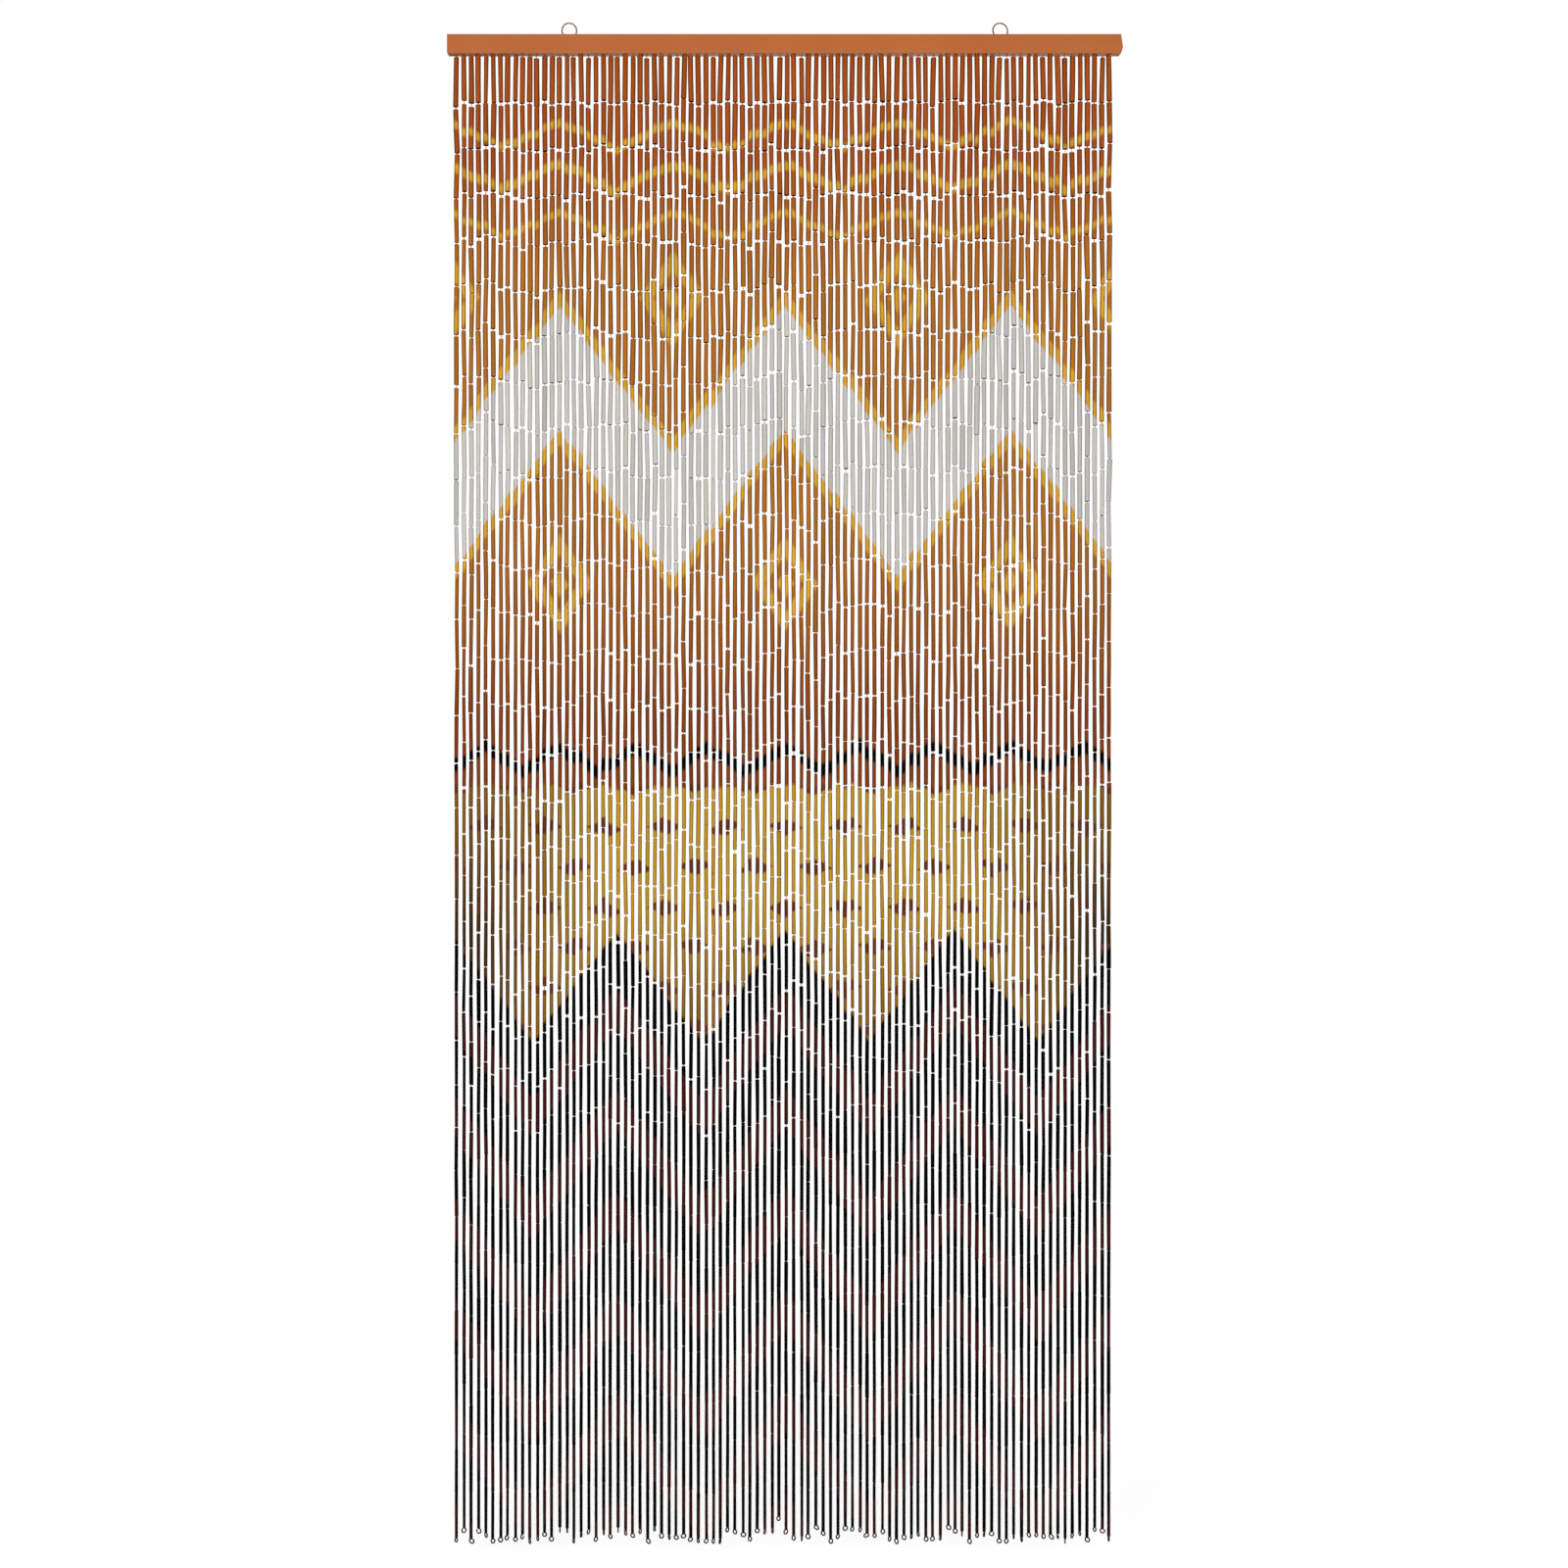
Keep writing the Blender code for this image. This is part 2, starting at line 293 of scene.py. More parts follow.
class Finish:
    """A material under construction. Constants are set on the shader's own sockets."""

    def __init__(self, name, **constants):
        self.material = bpy.data.materials.new(name)
        self.material.use_nodes = True
        self.tree = self.material.node_tree
        self.shader = self.tree.nodes["Principled BSDF"]
        for socket, value in constants.items():
            self.shader.inputs[socket.replace("_", " ")].default_value = value

    def feed(self, socket, value):
        if isinstance(value, Varying):
            self.tree.links.new(value.socket, socket)
        elif socket.type == "RGBA" and len(value) == 3:
            socket.default_value = (*value, 1.0)
        else:
            socket.default_value = value

    def node(self, kind, settings=None, inputs=None, output=0):
        """Adds a node: its settings first, then the values or links of its sockets."""
        node = self.tree.nodes.new(kind)
        for name, value in (settings or {}).items():
            if name == "stops":
                self.fill_ramp(node.color_ramp, value)
            else:
                setattr(node, name, value)
        for socket, value in (inputs or {}).items():
            self.feed(node.inputs[socket], value)
        return Varying(self, node.outputs[output])

    def fill_ramp(self, ramp, stops):
        for position, _ in stops[2:]:
            ramp.elements.new(position)
        for element, (position, colour) in zip(ramp.elements, sorted(stops)):
            element.position = position
            element.color = (*colour, 1.0)

    def place(self):
        """Where the point is on the curtain, in metres: the vector, and its three parts."""
        vector = self.node("ShaderNodeTexCoord", output="Object")
        parts = [self.node("ShaderNodeSeparateXYZ", None, {0: vector}, axis) for axis in "XYZ"]
        return vector, *parts

    def vector(self, x, y, z):
        return self.node("ShaderNodeCombineXYZ", None, {"X": x, "Y": y, "Z": z})

    def noise(self, vector, scale, detail=2.0):
        return self.node("ShaderNodeTexNoise", None, {"Vector": vector, "Scale": scale, "Detail": detail})

    def stretched_noise(self, vector, scales, detail=2.0):
        """Noise whose grains have a length of their own along each axis."""
        mapped = self.node("ShaderNodeMapping", None, {"Vector": vector, "Scale": scales})
        return self.noise(mapped, 1.0, detail)

    def own(self, name):
        """A number stored with each point of the mesh."""
        return self.node("ShaderNodeAttribute", {"attribute_name": name}, None, "Fac")

    def mix(self, share, first, second):
        """The first colour where share is 0 and the second where it is 1."""
        settings = {"data_type": "RGBA"}
        return self.node("ShaderNodeMix", settings, {0: share, 6: first, 7: second}, 2)

    def lighter(self, colour, factor):
        """A colour multiplied by a number."""
        grey = self.vector(factor, factor, factor)
        settings = {"data_type": "RGBA", "blend_type": "MULTIPLY"}
        return self.node("ShaderNodeMix", settings, {0: 1.0, 6: colour, 7: grey}, 2)

    def surface(self, colour=None, roughness=None, metallic=None):
        for name, value in (("Base Color", colour), ("Roughness", roughness), ("Metallic", metallic)):
            if value is not None:
                self.feed(self.shader.inputs[name], value)

    def relief(self, height, depth):
        """Bump from a height of 0 to 1 that stands for a depth in metres."""
        inputs = {"Height": height, "Distance": depth, "Strength": 1.0}
        self.feed(self.shader.inputs["Normal"], self.node("ShaderNodeBump", None, inputs))


print("helpers ready:", ", ".join(name for name in vars(Finish) if not name.startswith("__")))

# %% [markdown]
# The floor is matt and nearly white. For a catalogue it is lit until it melts into the background.
# The curtain shades the floor under it, so a faint glow, stronger there than at the sides or behind,
# evens the floor out and no edge of it shows behind the strands.

# %% Floor paint
FLOOR_COLOUR = (0.94, 0.94, 0.935, 1.0)
GLOW_UNDER_STRANDS = 0.34
GLOW_BEHIND = 0.21
GLOW_AT_SIDES = 0.275
GLOW_CHANGES_BEHIND = (0.5, 1.3)
GLOW_CHANGES_AT_SIDES = (0.45, 0.5)

floor_paint = Finish("pale_floor", Base_Color=FLOOR_COLOUR, Roughness=0.9, Emission_Strength=1.0)
_, floor_x, floor_y, _ = floor_paint.place()
near_glow, far_glow, side_glow = (GLOW_UNDER_STRANDS,) * 3, (GLOW_BEHIND,) * 3, (GLOW_AT_SIDES,) * 3
floor_glow = floor_paint.mix(floor_y.rises(*GLOW_CHANGES_BEHIND), near_glow, far_glow)
floor_glow = floor_paint.mix(abs(floor_x).rises(*GLOW_CHANGES_AT_SIDES), floor_glow, side_glow)
floor_paint.feed(floor_paint.shader.inputs["Emission Color"], floor_glow)
floor_mesh.materials.append(floor_paint.material)
print("floor glow", GLOW_UNDER_STRANDS, "under the strands,", GLOW_BEHIND, "behind")

# %% [markdown]
# The rail is a sawn softwood batten with one coat of terracotta satin paint. Seen close, the paint
# follows the long grain, has faint brush marks along it, is thin on the sharp edges, where bare
# wood shows in chips, and is rougher on the two sawn ends.

# %% Rail paint
TERRACOTTA = (0.415, 0.107, 0.017)
TERRACOTTA_LIGHT = (0.440, 0.121, 0.022)
BARE_PINE = (0.46, 0.27, 0.13)
EDGE_WEAR = 0.9 * MM
SAWN_END = 1.5 * MM
RAIL_RELIEF = 0.12 * MM

# Grains of noise to the metre, along x, y and z where they are stretched
RAIL_GRAIN = (5, 420, 420)
RAIL_BRUSH = (14, 900, 900)
RAIL_CLOUDS = 9
RAIL_CHIPS = 260
RAIL_SAW_MARKS = 900


def rail_finish():
    paint = Finish("rail_paint", Specular_IOR_Level=0.25)
    spot, x, y, z = paint.place()
    grain = paint.stretched_noise(spot, RAIL_GRAIN, 5)
    brush = paint.stretched_noise(spot, RAIL_BRUSH, 3)
    cloud = paint.noise(spot, RAIL_CLOUDS)
    from_edge_z = RAIL_TOP - abs(z)
    from_edge_y = RAIL_DEPTH / 2 - abs(y + RAIL_DEPTH / 2)
    near_edge = 1 - from_edge_z.most(from_edge_y).rises(EDGE_WEAR, EDGE_WEAR)
    edge_marks = near_edge * paint.noise(spot, RAIL_CHIPS, 4).rises(0.66, 0.06)
    sawn = abs(x).rises(RAIL_WIDTH / 2 - SAWN_END, SAWN_END)
    saw_marks = sawn * paint.noise(spot, RAIL_SAW_MARKS)
    coat = paint.mix(cloud.rises(0.5, 0.5), TERRACOTTA, TERRACOTTA_LIGHT)
    coat = paint.lighter(coat, 0.92 + 0.14 * grain - 0.10 * sawn)
    paint.surface(
        colour=paint.mix(edge_marks, coat, BARE_PINE),
        roughness=0.46 + 0.12 * brush + 0.25 * sawn + 0.2 * edge_marks,
    )
    paint.relief(0.55 * grain + 0.3 * brush - 0.5 * edge_marks + 0.8 * saw_marks, RAIL_RELIEF)
    return paint.material


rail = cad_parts["rail"]
rail_material = rail_finish()
for slot in rail.material_slots:
    slot.material = rail_material
print("rail painted, with", len(rail_material.node_tree.nodes), "nodes")

# %% [markdown]
# Everything else on the curtain is a tube of some kind: wire, or a hollow bead. A tube is a grid of
# points, so all tubes of one kind are worked out together as one array with an axis for the tube,
# one for the place along it and one for the way round, and a single table of faces joins them.

# %% Grids of points become one mesh
SHARP_ANGLE = math.radians(58)


def grid_faces(along, around, closed):
    """Corners of the faces of one tube: each face joins places p and p + 1 with sides k and k + 1.

    Side k + 1 of the last side is the first one, and on a closed tube the places go round likewise.
    """
    places = np.arange(along if closed else along - 1)
    here = places[:, None] * around + np.arange(around)
    beside = places[:, None] * around + (np.arange(around) + 1) % around
    after = (places[:, None] + 1) % along * around + np.arange(around)
    opposite = (places[:, None] + 1) % along * around + (np.arange(around) + 1) % around
    return np.stack([here, beside, opposite, after], axis=-1).reshape(-1, 4)


def join_tubes(name, grids, finish, closed=False, numbers=None):
    """One object from an array of points with the axes tube, along, around and xyz.

    The ends of open tubes are closed with one face each. numbers holds extra values to store with
    the points, as arrays of tube, along and around, or of length 1 where a value stays the same.
    """
    tubes, along, around, _ = grids.shape
    size = along * around
    faces = grid_faces(along, around, closed)
    every_face = (faces[None] + size * np.arange(tubes)[:, None, None]).reshape(-1, 4).tolist()
    if not closed:
        first = np.arange(around)[::-1]
        last = size - around + np.arange(around)
        for cap in (first, last):
            every_face += (cap[None] + size * np.arange(tubes)[:, None]).tolist()
    mesh = bpy.data.meshes.new(name)
    mesh.from_pydata(grids.reshape(-1, 3).tolist(), [], every_face)
    for attribute, values in (numbers or {}).items():
        spread = np.broadcast_to(values, (tubes, along, around))
        layer = mesh.attributes.new(attribute, "FLOAT", "POINT")
        layer.data.foreach_set("value", spread.astype(np.float32).ravel())
    mesh.shade_smooth()
    mesh.set_sharp_from_angle(angle=SHARP_ANGLE)
    mesh.materials.append(finish)
    piece = bpy.data.objects.new(name, mesh)
    bpy.context.scene.collection.objects.link(piece)
    print(name, "has", tubes, "tubes and", sum(len(f) - 2 for f in every_face), "triangles")
    return piece


def wire_grid(lines, normals, radius, sides):
    """Round wire along flat lines: a circle of the radius at each point, square to the line.

    A point of the circle is the line's point + radius * (cos(angle) * normal + sin(angle) * side),
    where side is the line's direction crossed with the normal of its plane.
    """
    heading = np.gradient(lines, axis=1)
    heading /= np.linalg.norm(heading, axis=-1, keepdims=True)
    normal = np.broadcast_to(normals[:, None], lines.shape)
    side = np.cross(heading, normal)
    angle = np.linspace(0, 2 * math.pi, sides, endpoint=False)[:, None]
    ring = np.cos(angle) * normal[:, :, None] + np.sin(angle) * side[:, :, None]
    return lines[:, :, None] + radius * ring


print("a closed tube of 8 places and 8 sides has", len(grid_faces(8, 8, True)), "faces")

# %% [markdown]
# The rail hangs from two screw eyes. Each is one piece of dull steel wire: a shank that stands in
# the wood, and a ring that starts and ends beside it. The ring is half an ellipse above its centre
# and flatter below, with square corners and a foot that runs along the wood, as on the solids, but
# with more steps, so that its bends look smooth.

# %% Shape of a screw eye
EYE_WIRE = 1.9 * MM
EYE_FROM_MIDDLE = 288 * MM
EYE_BEHIND_FRONT = 11 * MM
EYE_HALF_WIDTH = 9.7 * MM
EYE_RISE = 17.5 * MM
EYE_CENTRE = 7.6 * MM
EYE_FOOT = 1.4 * MM
EYE_SQUARENESS = 0.3
EYE_END_GAP = 1.9 * MM
EYE_START, EYE_END = math.radians(-84), math.radians(265)
EYE_STEPS = 72
EYE_SIDES = 14
EYE_SHANK = (
    # across, height above the rail's top
    (0, -9 * MM),
    (0, -4.5 * MM),
    (0, -0.3 * MM),
    (0.35 * MM, 0.75 * MM),
)
EYES = (
    # name, side of the rail, turn in degrees, sideways lean
    ("left", -1, 4, 0.0),
    ("right", 1, -9, -0.1),
)


def eye_line(side, turn, lean):
    """x = half width * cos(angle) + lean * height above the foot, z = centre + half height * sin(angle).

    Below the centre the size of cos(angle) is raised to the squareness, which pushes the sides out.
    """
    angle = np.linspace(EYE_START, EYE_END, EYE_STEPS + 1)
    across = np.cos(angle)
    squared = np.copysign(np.abs(across) ** EYE_SQUARENESS, across)
    across = np.where(np.sin(angle) < 0, squared, across)
    half_height = np.where(np.sin(angle) > 0, EYE_RISE - EYE_CENTRE, EYE_CENTRE - EYE_FOOT)
    z = EYE_CENTRE + half_height * np.sin(angle)
    x = EYE_HALF_WIDTH * across + lean * (z - EYE_FOOT)
    flat = np.concatenate([EYE_SHANK, np.stack([x, z], axis=1), [(-EYE_END_GAP, EYE_FOOT)]])
    turn = math.radians(turn)
    line = np.stack([flat[:, 0] * math.cos(turn), flat[:, 0] * math.sin(turn), flat[:, 1]], axis=1)
    line += (side * EYE_FROM_MIDDLE, rail_low.y + EYE_BEHIND_FRONT, RAIL_TOP)
    return line, np.array([-math.sin(turn), math.cos(turn), 0])


print("rings are", round(1000 * (2 * EYE_HALF_WIDTH + EYE_WIRE), 1), "mm wide outside")

# %% [markdown]
# The wire of the screw eyes was never painted. Tarnish lies over it in clouds, which dull it and
# hide its metal, and handling has left fine scratches. A mesh of its own stands in for each solid.

# %% Screw eyes
BROWN_STEEL = (0.30, 0.16, 0.08)
TARNISH = (0.15, 0.065, 0.03)
TARNISH_CLOUDS = 240
SCRATCHES = 2600
WIRE_RELIEF = 0.03 * MM


def steel_finish():
    """Dull wire: dark tarnish in clouds over brown steel, and fine scratches."""
    steel = Finish("tarnished_steel")
    spot, *_ = steel.place()
    tarnish = steel.noise(spot, TARNISH_CLOUDS, 4).rises(0.5, 0.35)
    scratches = steel.noise(spot, SCRATCHES, 3)
    steel.surface(
        colour=steel.mix(tarnish, BROWN_STEEL, TARNISH),
        roughness=0.34 + 0.2 * tarnish + 0.1 * scratches,
        metallic=1 - 0.45 * tarnish,
    )
    steel.relief(scratches + 0.6 * tarnish, WIRE_RELIEF)
    return steel.material


steel_material = steel_finish()
for eye_name, side, turn, lean in EYES:
    line, normal = eye_line(side, turn, lean)
    grid = wire_grid(line[None], normal[None], EYE_WIRE / 2, EYE_SIDES)
    eye = join_tubes("hanging_ring_" + eye_name, grid, steel_material)
    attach(eye, BODY)
    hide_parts("screw_eye_" + eye_name)

# %% [markdown]
# The strands hang as on the solids. Bead lengths differ, so the joints between beads drift apart
# down the curtain, and the last beads of a strand are cut to bring it back to length. Each joint
# stands a little off plumb, less so lower down, where thin beads sit close on their wires, and each
# strand leans a little as a whole. The same sizes and the same seeded draws as in the solids give
# the same joints, and the foot of each third is compared with its solid.

# %% Where the joints are
STRANDS = 90
STRANDS_PER_PANEL = 30
FIRST_STRAND_X = -438 * MM
STRAND_PITCH = 9.78 * MM
STRAND_Y = -RAIL_DEPTH / 2
BEADS = 32
BEAD_PITCH = 61.55 * MM
BEAD_PITCH_SPREAD = 1.0 * MM
BEAD_PITCH_LIMIT = 4.5 * MM
DRIFT_STEP = 2.3 * MM
DRIFT_STEP_LIMIT = 6 * MM
STRAND_DRIFT = 0.4 * MM
LAST_FREE_JOINT = 21
CLOSEST_HANG = 1.5 * MM
LOWEST_HANG = 6.2 * MM
HANG_BIAS = 2.2
SWAY_AT_TOP = 0.65 * MM
SWAY_AT_END = 0.05 * MM
SWAY_LIMIT = 1.1 * MM
LEAN_AT_END = 0.6 * MM
LEAN_LIMIT = 0.9 * MM
STRAND_SEED = 90
ODD_STRANDS = ((16, 9 * MM), (33, 9 * MM), (44, -18 * MM))
LOWEST_BEAD_END = -1992 * MM
LOOP_REACH = 8 * MM
LOOP_TURN_SPREAD = 0.9
PANELS = {
    place: slice(number * STRANDS_PER_PANEL, (number + 1) * STRANDS_PER_PANEL)
    for number, place in enumerate(("left", "middle", "right"))
}


def hung_joints():
    """Points of joint 0, the top of the first bead, to joint 32, the foot of the last, on each strand."""
    random = np.random.default_rng(STRAND_SEED)
    pitch = random.normal(BEAD_PITCH, BEAD_PITCH_SPREAD, (STRANDS, BEADS))
    pitch = np.clip(pitch, BEAD_PITCH - BEAD_PITCH_LIMIT, BEAD_PITCH + BEAD_PITCH_LIMIT)
    gap = CLOSEST_HANG + (LOWEST_HANG - CLOSEST_HANG) * random.uniform(0, 1, STRANDS) ** HANG_BIAS
    sway = random.normal(0, 1, (STRANDS, BEADS + 1, 2))
    loop_turn = random.normal(0, LOOP_TURN_SPREAD, STRANDS)
    lean = np.clip(random.normal(0, LEAN_AT_END, STRANDS), -LEAN_LIMIT, LEAN_LIMIT)
    drift = random.normal(0, DRIFT_STEP, (STRANDS, BEADS))
    drift = np.clip(drift, -DRIFT_STEP_LIMIT, DRIFT_STEP_LIMIT)
    drift = np.cumsum(drift + random.normal(0, STRAND_DRIFT, (STRANDS, 1)), axis=1)
    for strand, longer in ODD_STRANDS:
        pitch[strand] += longer / BEADS
    down = np.concatenate([np.zeros((STRANDS, 1)), np.cumsum(pitch, axis=1)], axis=1)
    spare = RAIL_UNDERSIDE - gap - LOWEST_BEAD_END
    down *= np.minimum(1, spare / down[:, -1])[:, None]
    beads_below = np.arange(BEADS - 1, -1, -1)
    down[:, 1:] += drift * np.minimum(1, beads_below / (BEADS - LAST_FREE_JOINT))
    sway *= np.linspace(SWAY_AT_TOP, SWAY_AT_END, BEADS + 1)[None, :, None]
    sway = np.clip(sway, -SWAY_LIMIT, SWAY_LIMIT)
    points = np.zeros((STRANDS, BEADS + 1, 3))
    points[:, :, 0] = FIRST_STRAND_X + STRAND_PITCH * np.arange(STRANDS)[:, None] + sway[:, :, 0]
    points[:, :, 0] += lean[:, None] * np.linspace(0, 1, BEADS + 1)
    points[:, :, 1] = STRAND_Y + sway[:, :, 1]
    points[:, :, 2] = RAIL_UNDERSIDE - gap[:, None] - down
    return points, loop_turn


joints, loop_turn = hung_joints()
for place, run in PANELS.items():
    foot = joints[run, -1, 2].min() - LOOP_REACH
    print(place, "foot", round(foot, 5), "on its solid", round(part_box("strands_" + place)[0].z, 5))

# %% [markdown]
# The beads were painted after they were strung, with the curtain laid flat, so the picture runs
# over beads, gaps and wire alike. It is a woven-rug pattern in bands: thin gold zigzags on rust, a
# broad off-white zigzag with gold edges on amber, a black line, ochre with rows of small lozenges,
# and black teeth over a ground where maroon zigzags sink into black. Painting by the place on the
# curtain takes one network for beads and wires. It starts with the colours and the ground, whose
# colour changes slowly with the depth below the rail.

# %% Colours and ground
RUST = (0.350, 0.069, 0.009)
RUST_DEEP = (0.205, 0.040, 0.006)
AMBER = (0.40, 0.130, 0.013)
BURNT_AMBER = (0.300, 0.080, 0.008)
GOLD = (0.60, 0.30, 0.018)
OFF_WHITE = (0.475, 0.446, 0.418)
OCHRE = (0.44, 0.24, 0.012)
OCHRE_LOW = (0.165, 0.062, 0.007)
OCHRE_DARK = (0.020, 0.008, 0.003)
RED_BROWN = (0.115, 0.026, 0.010)
MAROON = (0.048, 0.0065, 0.0045)
BLACK = (0.0010, 0.0004, 0.0004)

PAINTED_DROP = 1.97
GROUND = (
    # depth below the rail in metres, colour of the ground there
    (0.00, RUST),
    (0.14, RUST),
    (0.30, AMBER),
    (0.62, AMBER),
    (0.77, BURNT_AMBER),
    (0.88, RUST_DEEP),
    (PAINTED_DROP, RUST_DEEP),
)
print("ground changes at", len(GROUND), "depths, down to", PAINTED_DROP, "m")

# %% [markdown]
# Each band is a zigzag, a row of lozenges, or both. A zigzag is kept as the depth of its peaks, its
# height, the distance from peak to peak and its thickness, and a lozenge as half its width and half
# its height, all in metres. A colour that changes slowly has the middle and length of its change.

# %% Sizes of the bands
SOFT_EDGE = 7 * MM
GOLD_ZIGZAGS = (
    # depth of the peaks, height, repeat, thickness
    (0.085, 0.034, 0.150, 0.010),
    (0.140, 0.034, 0.150, 0.012),
    (0.205, 0.034, 0.150, 0.009),
)
BROAD_TOP, BROAD_HEIGHT, BROAD_REPEAT, BROAD_THICK = 0.335, 0.195, 0.300, 0.165
GOLD_RIM = 0.020
NOTCH_LOZENGE = (0.044, 0.064)
LOZENGE_SET_BACK = 0.010
LOZENGE_RING = 0.58
LOZENGE_CORE = 0.26
LINE_TOP, LINE_HEIGHT, LINE_REPEAT, LINE_THICK = 0.915, 0.030, 0.100, 0.018
OCHRE_TOP = 0.975
OCHRE_SINKS = (1.20, 0.20)
OCHRE_SIDES = (0.29, 0.14)
OCHRE_LOW_SHARE = 0.85
CORNERS_SINK = (1.08, 0.20)
OCHRE_CORNERS = (0.37, 0.10)
CORNER_SHARE = 0.9
ROW_SPACING, ROW_REPEAT, ROW_START = 0.054, 0.080, 1.002
ROW_LOZENGE = (0.024, 0.012)
TEETH_TOP, TEETH_HEIGHT, TEETH_REPEAT = 1.165, 0.150, 0.225
MAROON_START, MAROON_REPEAT, MAROON_THICK, MAROON_FADE = 0.035, 0.135, 0.052, 1.5
print("broad zigzag", BROAD_HEIGHT, "high, teeth", TEETH_HEIGHT, "high, every", TEETH_REPEAT, "m")

# %% [markdown]
# The bands are laid over the ground one after another, as a painter would. Each colour ends in a
# soft edge that wavers, and each strand has slipped a little since it was painted, which breaks
# every line in steps.

# %% The painted picture
WAVER = 6 * MM
WAVER_ACROSS = 3.6 * MM
WAVER_SCALE = 16


def lozenge(across, down, half_width, half_height):
    """|across| / half width + |down| / half height: 0 in a lozenge's middle and 1 on its edge."""
    return abs(across) / half_width + abs(down) / half_height


def ringed_lozenge(across, down, half_width, half_height):
    """1 on a lozenge's rim and in its core, and 0 between them and outside."""
    reach = lozenge(across, down, half_width, half_height)
    rim = reach.within(LOZENGE_RING, 1.0, SOFT_EDGE / half_width)
    return rim + (1 - reach.rises(LOZENGE_CORE, SOFT_EDGE / half_width))


def painted_picture(paint, x, depth):
    """The picture's colour at a place across and a depth below the rail, layer on layer."""
    stops = [(at / PAINTED_DROP, colour) for at, colour in GROUND]
    colour = paint.node("ShaderNodeValToRGB", {"stops": stops}, {"Fac": depth / PAINTED_DROP})

    for top, height, repeat, thick in GOLD_ZIGZAGS:
        below = depth - top - height * x.zigzag(repeat)
        colour = paint.mix(below.within(0.0, thick, SOFT_EDGE), colour, GOLD)

    middle = x.zigzag(BROAD_REPEAT)
    below = depth - BROAD_TOP - BROAD_HEIGHT * middle
    colour = paint.mix(below.within(-GOLD_RIM, BROAD_THICK + GOLD_RIM, SOFT_EDGE), colour, GOLD)
    colour = paint.mix(below.within(0.0, BROAD_THICK, SOFT_EDGE), colour, OFF_WHITE)
    to_peak = middle * (BROAD_REPEAT / 2)
    to_notch = BROAD_REPEAT / 2 - to_peak
    in_notches = ringed_lozenge(to_notch, depth - (BROAD_TOP - LOZENGE_SET_BACK), *NOTCH_LOZENGE)
    lowest = BROAD_TOP + BROAD_THICK + BROAD_HEIGHT
    under_peaks = ringed_lozenge(to_peak, depth - (lowest + LOZENGE_SET_BACK), *NOTCH_LOZENGE)
    colour = paint.mix(in_notches.most(under_peaks), colour, GOLD)

    below = depth - LINE_TOP - LINE_HEIGHT * x.zigzag(LINE_REPEAT)
    colour = paint.mix(below.within(0.0, LINE_THICK, SOFT_EDGE), colour, BLACK)

    low = depth.rises(*OCHRE_SINKS)
    low_or_side = low.most(abs(x).rises(*OCHRE_SIDES))
    ochre = paint.mix(OCHRE_LOW_SHARE * low_or_side, OCHRE, OCHRE_LOW)
    corners = depth.rises(*CORNERS_SINK) * abs(x).rises(*OCHRE_CORNERS)
    ochre = paint.mix(CORNER_SHARE * corners, ochre, OCHRE_DARK)
    row = (depth - ROW_START) / ROW_SPACING
    shift = row.floor().zigzag(2.0) * (ROW_REPEAT / 2)
    across = (x + shift).zigzag(ROW_REPEAT) * (ROW_REPEAT / 2)
    down = (row.zigzag(1.0) - 1) * (ROW_SPACING / 2)
    in_rows = 1 - lozenge(across, down, *ROW_LOZENGE).rises(1.0, SOFT_EDGE / ROW_LOZENGE[0])
    ochre = paint.mix(in_rows, ochre, RED_BROWN)
    colour = paint.mix(depth.rises(OCHRE_TOP, SOFT_EDGE), colour, ochre)

    below = depth - TEETH_TOP - TEETH_HEIGHT * x.zigzag(TEETH_REPEAT)
    bands = (below - MAROON_START).zigzag(MAROON_REPEAT)
    share = MAROON_THICK / MAROON_REPEAT
    bands = bands.rises(1 - share, SOFT_EDGE / MAROON_REPEAT)
    bands = bands * (1 - below / MAROON_FADE).most(0.0)
    night = paint.mix(bands, BLACK, MAROON)
    return paint.mix(below.rises(0.0, SOFT_EDGE), colour, night)


def picture_at_point(paint):
    """The picture with its wavering edges and slipped strands, and the vector it was read from."""
    spot, x, _, z = paint.place()
    waver = paint.noise(spot, WAVER_SCALE) - 0.5
    depth = RAIL_UNDERSIDE - z + paint.own("slip") + WAVER * waver
    return painted_picture(paint, x + WAVER_ACROSS * waver, depth), spot


print("edges waver by up to", round(1000 * WAVER / 2, 1), "mm")

# %% [markdown]
# A bead is a length of thin bamboo, sawn off square at both ends, with the natural hole down its
# middle. The paint is satin and shows the long fibres and the brush. Painted shade darkens each
# bead towards its left and right sides, less under the off-white. The cut ends are bare bamboo,
# dark with age and darkened further with painted shade, the hollow is painted near black as shade,
# and painted shade along the lower edge, strongest on the upper beads, makes the ends of those look
# black from below.

# %% Bead finish
# Cut ends: dark bamboo with painted shade over it. The hole: painted shade, near black.
BAMBOO_END_AND_SHADE = (0.034, 0.013, 0.006)
HOLLOW_SHADE = (0.004, 0.002, 0.0015)
# painted shade towards each bead's left and right sides, and how much less of it off-white gets
PAINTED_SIDE_SHADE = 0.72
PALE_BLUE = (0.2, 0.2)
PALE_SIDE_SHADE_CUT = 0.9
BEAD_FIBRES = (1500, 1500, 45)
BEAD_BRUSH = (420, 420, 16)
BARE_FROM = (0.56, 0.08)
HOLLOW_FROM = (0.85, 0.2)
BEAD_RELIEF = 0.09 * MM


